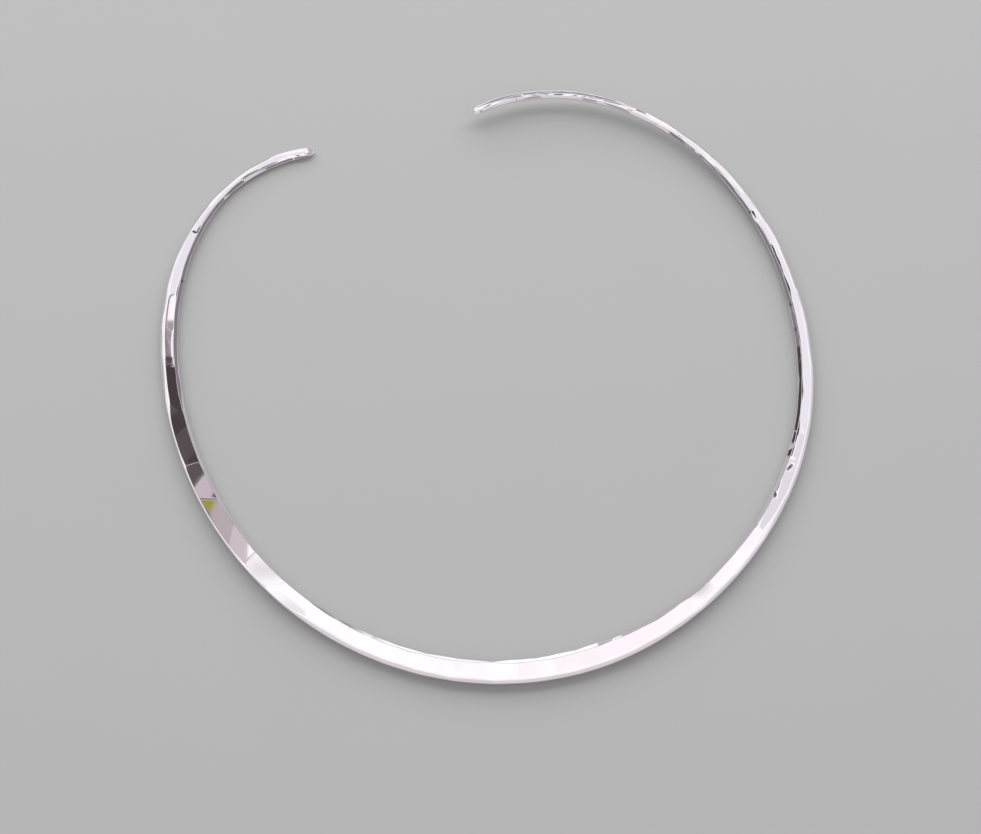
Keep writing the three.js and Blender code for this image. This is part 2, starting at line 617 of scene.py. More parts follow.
@dataclass(frozen=True)
class Section:
    """A section of the bar, as straight and quadratic stretches between points (out, up).

    Attributes:
        stretches: two points for a straight one, three for a curve.
        crowding: how far its points crowd towards a stretch's ends, from 0 to 1.
    """

    stretches: tuple[tuple[Pair, ...], ...]
    crowding: float = 0.75

    def points(self, counts: tuple[int, ...]) -> list[Pair]:
        """The outline, in shares of its own width and height.

        Args:
            counts: points on each stretch.

        Returns:
            (out, up) of each point: -0.5 is the inner edge and 0.5 the outer, 0 the underside.
        """
        raw: list[Pair] = []
        for stretch, count in zip(self.stretches, counts, strict=True):
            for i in range(count):
                t = i / count - self.crowding * math.sin(math.tau * i / count) / math.tau
                first, last, middle = stretch[0], stretch[-1], stretch[len(stretch) // 2]
                if len(stretch) == 2:
                    middle = ((first[0] + last[0]) / 2, (first[1] + last[1]) / 2)
                weights = ((1 - t) ** 2, 2 * t * (1 - t), t * t)
                corners = (first, middle, last)
                raw.append(
                    tuple(sum(w * p[k] for w, p in zip(weights, corners, strict=True)) for k in (0, 1))
                )
        outs, ups = [p[0] for p in raw], [p[1] for p in raw]
        wide, high = max(outs) - min(outs), max(ups) - min(ups)
        middle_out = (max(outs) + min(outs)) / 2
        return [((x - middle_out) / wide, (y - min(ups)) / high) for x, y in raw]


SLAB = Section(
    (
        ((0.36, 0.0), (0.5, 0.03), (0.5, 0.42)),
        ((0.5, 0.42), (0.5, 0.94), (0.4, 0.97)),
        ((0.4, 0.97), (0.0, 1.0), (-0.38, 0.98)),
        ((-0.38, 0.98), (-0.487, 0.66)),
        ((-0.487, 0.66), (-0.53, 0.03), (-0.38, 0.0)),
        ((-0.38, 0.0), (0.36, 0.0)),
    )
)
ROUND = Section(
    (
        ((0.2, 0.0), (0.47, 0.04), (0.5, 0.48)),
        ((0.5, 0.48), (0.49, 0.86), (0.22, 0.96)),
        ((0.22, 0.96), (0.0, 1.04), (-0.24, 0.96)),
        ((-0.24, 0.96), (-0.45, 0.68)),
        ((-0.45, 0.68), (-0.56, 0.08), (-0.2, 0.0)),
        ((-0.2, 0.0), (0.2, 0.0)),
    )
)
STATIONS = (
    Station(0, 29.5, 2.1, 1.2),
    Station(8, 30.5, 2.5, 1.3),
    Station(20, 33.5, 1.95, 1.6),
    Station(42, 47, 3.5, 2.0),
    Station(64, 74.5, 3.9, 2.2),
    Station(130, 71, 4.95, 2.4),
    Station(190, 66, 5.5, 2.4),
    Station(235, 70, 4.15, 2.4),
    Station(258, 53, 3.55, 2.3),
    Station(280, 70.5, 3.3, 2.2),
    Station(305, 65.5, 2.6, 2.0),
    Station(330, 57, 1.95, 1.8),
    Station(355, 45, 1.8, 1.7),
    Station(379, 33, 1.9, 1.6),
)
ROWS = (
    BlowRow("outer_side", slab=2, round=2, rate=0.9, phase=0.2, cut=0.03, soft=(0.5, 0.1, 0.05)),
    BlowRow(
        "outer_shoulder", slab=52, round=50, phase=0.55, base=(0.32, -0.02, -0.08), cut=0.05,
        soft=(0.4, 0.1, 0.06),
    ),
    BlowRow(
        "outer_crown", slab=80, round=74, rate=0.8, phase=0.3, base=(0.07, 0.06, -0.04), cut=0.03,
        turn=1.2, tip=0.7, dish=0.002, soft=(0.3, 0.03, 0.02),
    ),
    BlowRow(
        "crown", slab=90, round=89, rate=0.7, phase=0.75, base=(0.03, 0.065, 0.05), cut=0.03,
        turn=1.2, tip=0.7, dish=0.002, soft=(0.01, 0.02, 0.01),
    ),
    BlowRow(
        "inner_crown", slab=96, round=97, rate=0.8, phase=0.1, base=(0.03, 0.08, -0.1), cut=0.015,
        turn=0.5, tip=0.4, dish=0.002, soft=(0.005, 0.03, 0.005),
    ),
    BlowRow(
        "inner_shoulder", slab=130, round=134, rate=0.9, phase=0.4, base=(0.1, 0.07, -0.12),
        cut=0.06, turn=2.5, soft=(0.005, 0.06, 0.02),
    ),
    BlowRow("inner_side", slab=180, round=178, phase=0.85, cut=0.03, soft=(0.1, 0.1, 0.1)),
    BlowRow("inner_foot", slab=228, round=228, rate=0.6, cut=0.02, soft=(0.2, 0.2, 0.2)),
    BlowRow(
        "underside", slab=270, round=270, rate=0.5, cut=0.0, turn=0.0, tip=0.0, dish=0.0,
        soft=(0.05, 0.05, 0.05),
    ),
    BlowRow("outer_foot", slab=-45, round=-45, rate=0.6, cut=0.02, soft=(0.2, 0.2, 0.2)),
)
NICKS = (
    Nick(at=249.6, across=-0.13, slant=22.0, length=1.9, width=0.8, depth=0.2),
    Nick(at=242.7, across=-0.28, slant=-16.0, length=1.3, width=0.72, depth=0.18),
)


# ---- The torc ----

BLOW_INPUTS = {"Core": VECTOR, "Direction": VECTOR, "Seed": INTEGER} | dict.fromkeys(
    ("Angle", "Reach", "Blow Length", "Cut", "Turn", "Tip", "Dish"), FLOAT
)


@dataclass
class Torc:
    """The silver ring itself.

    Attributes:
        line: the bar's centreline and gauges.
        slab: the wide front's section.
        round: the ends' section.
        rows: the rows of hammer blows.
        nicks: the small nicks in the top.
        ring_points: points on each stretch of the section.
        core: how far out from the bar's middle the blows are sounded from, as a share.
        proud: how far the unhammered skin stands proud, in millimetres.
        lively: how many times more a blow turns and tips on the round than on the slab.
        stray: how far a blow may fall off its beat.
        glance: the least slope at which a blow is sounded.
        blend: how softly the blows of one row meet, in millimetres.
        nick_gain: how soon the painted shade hides the silver in a nick.
        girth: the length round the bar that its map gives, in metres.
        seam: points closer than this are joined, in millimetres.
        seed: of everything random in the blows.
        row_seeds: how far apart the rows' seeds are.
        underside_slope: a face that looks further down than this is rested.
    """

    line: BarLine
    slab: Section = SLAB
    round: Section = ROUND
    rows: tuple[BlowRow, ...] = ROWS
    nicks: tuple[Nick, ...] = NICKS
    ring_points: tuple[int, ...] = (7, 12, 18, 9, 7, 4)
    core: float = 0.6
    proud: float = 0.03
    lively: float = 2.0
    stray: float = 0.28
    glance: float = 0.05
    blend: float = 0.008
    nick_gain: float = 2.4
    girth: float = 0.012
    seam: float = 0.002
    seed: int = 41
    row_seeds: float = 17.0
    underside_slope: float = -0.96

    def build(self, polished: Material, rested: Material) -> Object:
        """Sweeps and hammers the bar.

        Args:
            polished: the finish of all that shows.
            rested: the finish of the underside.

        Returns:
            The finished piece, a plain mesh.
        """
        line, section, tree = self.line_object(), self.section_object(), self.hammered_bar()
        low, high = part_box("torc")
        values = {
            "Section": section,
            "Middle": ((low.x + high.x) / 2, (low.y + high.y) / 2, 0.0),
            "Core": self.core,
            "Proud": self.proud * MM,
            "Underside Slope": self.underside_slope,
            "Polished": polished,
            "Rested": rested,
            "Seed": self.seed,
        }
        modifier = line.modifiers.new("hammered_bar", "NODES")
        modifier.node_group = tree
        for item in tree.interface.items_tree:
            if item.in_out == "INPUT" and item.name in values:
                modifier[item.identifier] = values[item.name]
        bpy.context.view_layer.update()
        evaluated = line.evaluated_get(bpy.context.evaluated_depsgraph_get())
        mesh = bpy.data.meshes.new_from_object(evaluated)
        line.modifiers.remove(modifier)
        mesh.name = "hammered_torc"
        for name in [a.name for a in mesh.attributes if not (a.is_required or a.is_internal)]:
            if name not in (BAR_MAP, NICK_SHADE, "material_index"):
                mesh.attributes.remove(mesh.attributes[name])
        for scrap in (line, section):
            bpy.data.objects.remove(scrap)
        return link_object("hammered_torc", mesh)

    def dress(self, piece: Object) -> None:
        """Ties the piece to the frame.

        Args:
            piece: the finished piece.
        """
        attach(piece, "root")
        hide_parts("torc")

    def line_object(self) -> Object:
        """The bar's line as a wire that carries every reading.

        Returns:
            A mesh object of points and edges.
        """
        readings = self.line.walk()
        wire = wire_mesh("bar_line", [r["centre"] for r in readings], closed=False)
        for key, value in readings[0].items():
            store(wire, key, [r[key] for r in readings], vector=isinstance(value, Vector))
        slab, round_ = self.slab.points(self.ring_points), self.round.points(self.ring_points)
        for row in self.rows:
            angles, reaches = [], []
            for reading in readings:
                share = reading["flatness"]
                angle = math.radians(row.round + (row.slab - row.round) * share)
                out, up = math.cos(angle), math.sin(angle)
                reaches.append(
                    max(
                        (r[0] + (s[0] - r[0]) * share) * reading["width"] * out
                        + (r[1] + (s[1] - r[1]) * share - 0.5) * reading["thickness"] * up
                        for s, r in zip(slab, round_, strict=True)
                    )
                )
                angles.append(angle)
            store(wire, f"{row.name}_angle", angles)
            store(wire, f"{row.name}_reach", reaches)
        return link_object("bar_line", wire)

    def section_object(self) -> Object:
        """The section as a closed wire that carries both of its shapes.

        Returns:
            A mesh object of points and edges.
        """
        shapes = {
            f"{name}_shape": getattr(self, name).points(self.ring_points) for name in ("slab", "round")
        }
        slab = shapes["slab_shape"]
        wire = wire_mesh("bar_section", [Vector((x * MM, y * MM, 0.0)) for x, y in slab], closed=True)
        for name, points in shapes.items():
            store(wire, name, [Vector((x, y - 0.5, 0.0)) for x, y in points], vector=True)
        store(wire, "around", [i / len(slab) for i in range(len(slab))])
        return link_object("bar_section", wire)

    def one_blow(self) -> NodeTree:
        """A group that sounds how far out the skin stands under one blow of a row.

        Returns:
            The group, with the distance from the core in metres.
        """
        inputs = BLOW_INPUTS | dict.fromkeys(("Beat", "Offset"), FLOAT)
        sheet, take, made = new_group("one_blow", "GeometryNodeTree", inputs, {"Distance": FLOAT})
        index = sheet.plus(sheet.math("FLOOR", take["Beat"]), take["Offset"])

        def chance(kind: int) -> Socket:
            """An even number from -1 to 1, fixed for each blow and kind of chance."""
            feeds = {2: -1.0, 3: 1.0, "ID": index, "Seed": sheet.plus(take["Seed"], float(kind))}
            return sheet.value("FunctionNodeRandomValue", feeds, 1, data_type="FLOAT")

        drift, roll, force, tilt = (chance(kind) for kind in range(4))
        middle = sheet.plus(sheet.plus(index, 0.5), sheet.times(drift, self.stray))
        gap = sheet.times(sheet.minus(take["Beat"], middle), take["Blow Length"])
        angle = sheet.line(roll, take["Turn"], take["Angle"])
        facing = sheet.combine(sheet.math("COSINE", angle), sheet.math("SINE", angle))
        cut = sheet.times(sheet.line(force, 0.5, 0.5), take["Cut"])
        tipped = sheet.times(sheet.times(tilt, take["Tip"]), gap)
        dished = sheet.times(sheet.times(gap, gap), take["Dish"])
        plane = sheet.plus(sheet.minus(take["Reach"], cut), sheet.plus(tipped, dished))
        room = sheet.minus(plane, sheet.vector("DOT_PRODUCT", facing, take["Core"]))
        slope = sheet.vector("DOT_PRODUCT", facing, take["Direction"])
        slope = sheet.math("MAXIMUM", slope, self.glance)
        sheet.feed(made, "Distance", sheet.math("DIVIDE", room, slope))
        return sheet.tree

    def blow_row(self) -> NodeTree:
        """A group that sounds a row: the nearest blow and the two beside it, the deepest counting.

        Returns:
            The group, with the distance from the core in metres.
        """
        inputs = BLOW_INPUTS | dict.fromkeys(("Beats", "Rate", "Phase"), FLOAT)
        sheet, take, made = new_group("blow_row", "GeometryNodeTree", inputs, {"Distance": FLOAT})
        feeds = {name: take[name] for name in BLOW_INPUTS}
        feeds["Beat"] = sheet.line(take["Beats"], take["Rate"], take["Phase"])
        feeds["Blow Length"] = sheet.math("DIVIDE", take["Blow Length"], take["Rate"])
        blow = self.one_blow()
        deepest: Feed = 1.0
        for offset in (-1.0, 0.0, 1.0):
            here = sheet.value("GeometryNodeGroup", feeds | {"Offset": offset}, node_tree=blow)
            deepest = sheet.math("SMOOTH_MIN", deepest, here, self.blend * MM)
        sheet.feed(made, "Distance", deepest)
        return sheet.tree

    def one_nick(self) -> NodeTree:
        """A group that sounds how deep a nick is at each point of the skin.

        Returns:
            The group, with how far it goes down as a vector, and how strong the painted shade in it is.
        """
        names = ("Along", "Across", "Height", "Slant", "Length", "Width", "Depth")
        inputs, outputs = dict.fromkeys(names, FLOAT), {"Depth": VECTOR, "Grime": FLOAT}
        sheet, take, made = new_group("one_nick", "GeometryNodeTree", inputs, outputs)
        flat = sheet.combine(take["Along"], take["Across"])
        cosine, sine = (sheet.math(way, take["Slant"]) for way in ("COSINE", "SINE"))
        lines = (sheet.combine(cosine, sine), sheet.combine(sheet.times(sine, -1.0), cosine))
        shares = []
        for line, size in zip(lines, ("Length", "Width"), strict=True):
            gap = sheet.math("ABSOLUTE", sheet.vector("DOT_PRODUCT", flat, line))
            gone = sheet.math("DIVIDE", gap, sheet.times(take[size], 0.5))
            shares.append(sheet.math("SUBTRACT", 1.0, gone, clamp=True))
        bowl = sheet.times(sheet.math("SQRT", shares[0]), shares[1])
        share = sheet.times(bowl, sheet.math("GREATER_THAN", take["Height"], 0.0))
        sheet.feed(made, "Depth", sheet.combine(y=sheet.times(share, take["Depth"])))
        # painted shade: the nick's share, strengthened, sets how dark its colour is painted
        sheet.feed(made, "Grime", sheet.math("MULTIPLY", share, self.nick_gain, clamp=True))
        return sheet.tree

    def hammered_bar(self) -> NodeTree:
        """The tree that sweeps the section along the line and hammers it.

        Returns:
            The geometry tree.
        """
        inputs = {"Geometry": GEOMETRY, "Section": OBJECT, "Middle": VECTOR, "Seed": INTEGER}
        inputs |= dict.fromkeys(("Core", "Proud", "Underside Slope"), FLOAT)
        inputs |= dict.fromkeys(("Polished", "Rested"), MATERIAL)
        outputs = {"Geometry": GEOMETRY}
        sheet, take, made = new_group("hammered_bar", "GeometryNodeTree", inputs, outputs)
        line = sheet.value("GeometryNodeMeshToCurve", {0: take["Geometry"]})
        shape = sheet.value("GeometryNodeObjectInfo", {"Object": take["Section"]}, "Geometry")
        profile = sheet.value("GeometryNodeMeshToCurve", {0: shape})
        swept = sheet.value("GeometryNodeCurveToMesh", {"Curve": line, "Profile Curve": profile})
        feeds = {
            "Factor_Float": sheet.reading("flatness"),
            "A_Vector": sheet.reading("round_shape", "FLOAT_VECTOR"),
            "B_Vector": sheet.reading("slab_shape", "FLOAT_VECTOR"),
        }
        mixed = sheet.value("ShaderNodeMix", feeds, "Result_Vector", data_type="VECTOR")
        size = sheet.combine(sheet.reading("width"), sheet.reading("thickness"))
        skin = sheet.vector("MULTIPLY", mixed, size)
        hammered = self.hammer(sheet, take, skin)
        standing = sheet.vector("SCALE", hammered, sheet.reading("standing"))
        nicked, grime = self.nick(sheet, skin, standing)
        shaped = self.shape(sheet, take, swept, nicked)
        sheet.feed(made, 0, self.finish(sheet, take, shaped, grime))
        return sheet.tree

    def hammer(self, sheet: NodeSheet, take: NodeOutputs, skin: Socket) -> Socket:
        """Lets every row of blows flatten the section.

        Args:
            sheet: the bar's sheet.
            take: what its tree is given.
            skin: the section's points before the blows.

        Returns:
            The points after them.
        """
        flat, crisp = sheet.reading("flatness"), sheet.reading("crispness")

        def between(lengths: Trio) -> Socket:
            """Reads a length along the bar.

            Args:
                lengths: the length on the flat, on the round and by crisp edges, in millimetres.

            Returns:
                The length there, in metres.
            """
            on_flat, on_round, on_crisp = (length * MM for length in lengths)
            soft = sheet.line(flat, on_flat - on_round, on_round)
            return sheet.line(crisp, sheet.minus(on_crisp, soft), soft)

        core = sheet.vector("MULTIPLY", skin, sheet.combine(take["Core"]))
        ray = sheet.vector("SUBTRACT", skin, core)
        direction = sheet.vector("NORMALIZE", ray)
        reach = sheet.plus(sheet.vector("LENGTH", ray), take["Proud"])
        tree = self.blow_row()
        lively = sheet.line(flat, 1.0 - self.lively, self.lively)
        for number, row in enumerate(self.rows):
            feeds = {
                "Core": core,
                "Direction": direction,
                "Angle": sheet.reading(f"{row.name}_angle"),
                "Reach": sheet.minus(sheet.reading(f"{row.name}_reach"), between(row.base)),
                "Beats": sheet.reading("beats"),
                "Blow Length": sheet.reading("reach"),
                "Rate": row.rate,
                "Phase": row.phase,
                "Cut": row.cut * MM,
                "Turn": sheet.times(lively, math.radians(row.turn)),
                "Tip": sheet.times(lively, math.tan(math.radians(row.tip))),
                "Dish": row.dish / MM,
                "Seed": sheet.plus(take["Seed"], self.row_seeds * number),
            }
            struck = sheet.value("GeometryNodeGroup", feeds, node_tree=tree, label=row.name)
            reach = sheet.math("SMOOTH_MIN", reach, struck, between(row.soft))
        return sheet.vector("ADD", core, sheet.vector("SCALE", direction, reach))

    def nick(self, sheet: NodeSheet, skin: Socket, standing: Socket) -> tuple[Socket, Feed]:
        """Cuts the nicks.

        Args:
            sheet: the bar's sheet.
            skin: the section's points before the blows.
            standing: the points that are cut.

        Returns:
            The points after it, and how strong the painted shade of the nicks is at each.
        """
        across, up, _ = sheet.split(skin)
        tree, grime = self.one_nick(), 0.0
        for nick in self.nicks:
            feeds = {
                "Along": sheet.minus(sheet.reading("along"), nick.at * MM),
                "Across": sheet.line(sheet.reading("width"), -nick.across, across),
                "Height": up,
                "Slant": math.radians(nick.slant),
                "Length": nick.length * MM,
                "Width": nick.width * MM,
                "Depth": nick.depth * MM,
            }
            node = sheet.add("GeometryNodeGroup", feeds, node_tree=tree)
            standing = sheet.vector("SUBTRACT", standing, node.outputs["Depth"])
            # painted shade: the strongest nick counts at each point
            grime = sheet.math("MAXIMUM", grime, node.outputs["Grime"])
        return standing, grime

    def shape(
        self, sheet: NodeSheet, take: NodeOutputs, swept: Socket, section: Socket
    ) -> Socket:
        """Stands the section up along the line, with the ring's middle where the CAD has it.

        Args:
            sheet: the bar's sheet.
            take: what its tree is given.
            swept: the swept skin.
            section: where its points belong in the section.

        Returns:
            The skin in its place.
        """
        out, up, _ = sheet.split(section)
        sideways = sheet.vector("SCALE", sheet.reading("outward", "FLOAT_VECTOR"), out)
        height = sheet.plus(sheet.line(sheet.reading("thickness"), 0.5, up), sheet.reading("rise"))
        beside = sheet.vector("ADD", sheet.reading("centre", "FLOAT_VECTOR"), sideways)
        feeds = {"Geometry": swept, "Position": sheet.vector("ADD", beside, sheet.combine(z=height))}
        shaped = sheet.value("GeometryNodeSetPosition", feeds)
        low, high = sheet.add("GeometryNodeBoundBox", {0: shaped}).outputs[1:3]
        centre = sheet.vector("SCALE", sheet.vector("ADD", low, high), 0.5)
        level = sheet.vector("MULTIPLY", centre, (1.0, 1.0, 0.0))
        feeds = {"Geometry": shaped, "Offset": sheet.vector("SUBTRACT", take["Middle"], level)}
        return sheet.value("GeometryNodeSetPosition", feeds)

    def finish(
        self, sheet: NodeSheet, take: NodeOutputs, skin: Socket, grime: Feed
    ) -> Socket:
        """Maps the skin, closes it and gives it its materials.

        Args:
            sheet: the bar's sheet.
            take: what its tree is given.
            skin: the skin in its place.
            grime: how strong the painted shade of the nicks is at each point.

        Returns:
            The finished geometry.
        """
        mapped = sheet.combine(sheet.reading("along"), sheet.times(sheet.reading("around"), self.girth))
        # stores the map along the bar, and the strength of the painted shade in the nicks
        for name, value, kind, domain in (
            (BAR_MAP, mapped, "FLOAT2", "CORNER"), (NICK_SHADE, grime, "FLOAT", "POINT"),
        ):
            feeds = {"Geometry": skin, "Name": name, "Value": value}
            settings = {"data_type": kind, "domain": domain}
            skin = sheet.value("GeometryNodeStoreNamedAttribute", feeds, **settings)
        turned = sheet.value("GeometryNodeFlipFaces", {0: skin})
        feeds = {"Geometry": turned, "Distance": self.seam * MM}
        closed = sheet.value("GeometryNodeMergeByDistance", feeds)
        smooth = sheet.value("GeometryNodeSetShadeSmooth", {"Geometry": closed})
        _, _, facing = sheet.split(sheet.value("GeometryNodeInputNormal"))
        feeds = {0: facing, 1: take["Underside Slope"]}
        under = sheet.value("FunctionNodeCompare", feeds, operation="LESS_THAN")
        real = sheet.value("GeometryNodeRealizeInstances", {0: smooth})
        feeds = {"Geometry": real, "Material": take["Polished"]}
        top = sheet.value("GeometryNodeSetMaterial", feeds)
        feeds = {"Geometry": top, "Selection": under, "Material": take["Rested"]}
        return sheet.value("GeometryNodeSetMaterial", feeds)


def wire_mesh(name: str, points: list[Vector], closed: bool) -> Mesh:
    """A mesh of points joined in a row.

    Args:
        name: its name.
        points: in order.
        closed: whether the last joins the first.

    Returns:
        The mesh.
    """
    edges = [(i, i + 1) for i in range(len(points) - 1)]
    if closed:
        edges.append((len(points) - 1, 0))
    mesh = bpy.data.meshes.new(name)
    mesh.from_pydata(points, edges, [])
    return mesh


def store(mesh: Mesh, name: str, values: list, vector: bool = False) -> None:
    """Stores a reading for each point of a mesh.

    Args:
        mesh: the mesh.
        name: the reading's name.
        values: one for each point.
        vector: whether they are vectors.
    """
    kind, key = ("FLOAT_VECTOR", "vector") if vector else ("FLOAT", "value")
    attribute = mesh.attributes.new(name, kind, "POINT")
    flat = [part for value in values for part in value] if vector else values
    attribute.data.foreach_set(key, flat)


def link_object(name: str, data: ID) -> Object:
    """Puts some data in the scene as an object.

    Args:
        name: the object's name.
        data: its mesh, light or camera.

    Returns:
        The object.
    """
    thing = bpy.data.objects.new(name, data)
    bpy.context.scene.collection.objects.link(thing)
    return thing


# ---- The studio ----


@dataclass(frozen=True)
class FloorFinish:
    """The plain pale floor's finish, mottled a little from its colour to a shade of it."""

    name: str = "pale_floor"
    colour: Colour = (0.46, 0.465, 0.46)
    shade: float = 0.7
    mottle: float = 0.08
    grain: float = 30.0
    roughness: float = 0.75

    def build(self) -> Material:
        """Makes the material.

        Returns:
            The material.
        """
        material, sheet, surface = new_material(self.name)
        place = sheet.value("ShaderNodeTexCoord", out="Object")
        share = sheet.times(sheet.noise(place, self.grain, detail=6.0), self.mottle)
        dark = tuple(part * self.shade for part in self.colour)
        sheet.feed(surface, "Base Color", sheet.tint(share, self.colour, dark))
        sheet.feed(surface, "Roughness", self.roughness)
        sheet.feed(surface, "Specular IOR Level", 0.0)
        return material


@dataclass(frozen=True)
class Card:
    """A card round the ring that shows only in the silver: level, or standing along Y, in metres.

    Attributes:
        name: the card's name.
        from_left: where it starts and ends along X; the same for a standing one.
        from_front: where it starts and ends along Y.
        colour: the light that it gives back.
        height: of its left and right sides, or of a standing one's foot and head.
        edge: how far in from its sides it has faded in.
    """

    name: str
    from_left: Pair
    from_front: Pair
    colour: Colour
    height: Pair = (0.35, 0.35)
    edge: float = 0.0004

    def build(self) -> None:
        """Hangs the card."""
        (left, right), (front, back), (low, high) = self.from_left, self.from_front, self.height
        corners = [(left, front, low), (right, front, high), (right, back, high), (left, back, low)]
        mesh = bpy.data.meshes.new(self.name)
        mesh.from_pydata(corners, [], [(0, 1, 2, 3)])
        wide, deep = math.hypot(right - left, high - low), back - front
        spots = ((0, 0), (wide, 0), (wide, deep), (0, deep))
        for loop, spot in zip(mesh.uv_layers.new(name=CARD_MAP).data, spots, strict=True):
            loop.uv = spot
        mesh.materials.append(self.material(wide, deep))
        card = link_object(self.name, mesh)
        card.visible_camera = card.visible_diffuse = card.visible_shadow = False
        card.visible_transmission = card.visible_volume_scatter = False

    def material(self, wide: float, deep: float) -> Material:
        """A glow that fades out at the card's sides.

        Args:
            wide: the card's size from left to right, or from foot to head.
            deep: its size along Y.

        Returns:
            The material.
        """
        material, sheet, surface = new_material(self.name)
        sheet.tree.nodes.remove(surface)
        across, along, _ = sheet.split(sheet.value("ShaderNodeUVMap", uv_map=CARD_MAP))
        shares = []
        for part, size in ((across, wide), (along, deep)):
            inset = sheet.math("MINIMUM", part, sheet.minus(size, part))
            shares.append(sheet.ramp(inset, 0.0, self.edge))
        glow = sheet.value("ShaderNodeEmission", {"Color": (*self.colour, 1.0)})
        feeds = {0: sheet.times(*shares), 1: sheet.value("ShaderNodeBsdfTransparent"), 2: glow}
        mixed = sheet.value("ShaderNodeMixShader", feeds)
        sheet.feed(sheet.tree.nodes["Material Output"], 0, mixed)
        return material


@dataclass(frozen=True)
class SoftLight:
    """A softbox that lights the floor, in metres and watts, and doesn't show in the silver."""

    name: str
    place: Trio
    size: Pair
    power: float

    def build(self) -> None:
        """Sets the light up, aimed at the middle of the ring."""
        data = bpy.data.lights.new(self.name, "AREA")
        data.shape = "RECTANGLE"
        data.size, data.size_y = self.size
        data.energy = self.power
        light = link_object(self.name, data)
        light.location = self.place
        light.rotation_euler = (-Vector(self.place)).to_track_quat("-Z", "Y").to_euler()
        light.visible_glossy = False


@dataclass(frozen=True)
class Panel:
    """A soft panel of light on the walls of the room, in degrees.

    Attributes:
        name: the panel's name.
        azimuth: the bearing of its middle: 0 is +Y, 90 is +X.
        elevation: of its middle above the horizon.
        half_width: its half in bearing.
        half_height: its half in elevation.
        soft: what its sides, and its top and bottom, take to fade outwards.
        colour: the light it gives.
    """

    name: str
    azimuth: float
    elevation: float
    half_width: float
    half_height: float
    soft: Pair
    colour: Colour

    def mask(self, sheet: NodeSheet, x: Socket, y: Socket, z: Socket) -> Socket:
        """Where in the room the panel shows.

        Args:
            sheet: the world's sheet.
            x: how far a direction points along X.
            y: the same along Y.
            z: the same along Z.

        Returns:
            1 on the panel, 0 off it.
        """
        sine, cosine = math.sin(math.radians(self.azimuth)), math.cos(math.radians(self.azimuth))
        across = sheet.line(y, -sine, sheet.times(x, cosine))
        ahead = sheet.line(y, cosine, sheet.times(x, sine))
        bearing = sheet.math("ARCTAN2", across, ahead)
        climb = sheet.minus(sheet.math("ARCSINE", z), math.radians(self.elevation))
        shares = []
        for angle, half, soft in zip(
            (bearing, climb), (self.half_width, self.half_height), self.soft, strict=True
        ):
            gap = sheet.math("ABSOLUTE", angle)
            shares.append(sheet.ramp(gap, math.radians(half), math.radians(half + soft), 1.0, 0.0))
        return sheet.times(*shares)


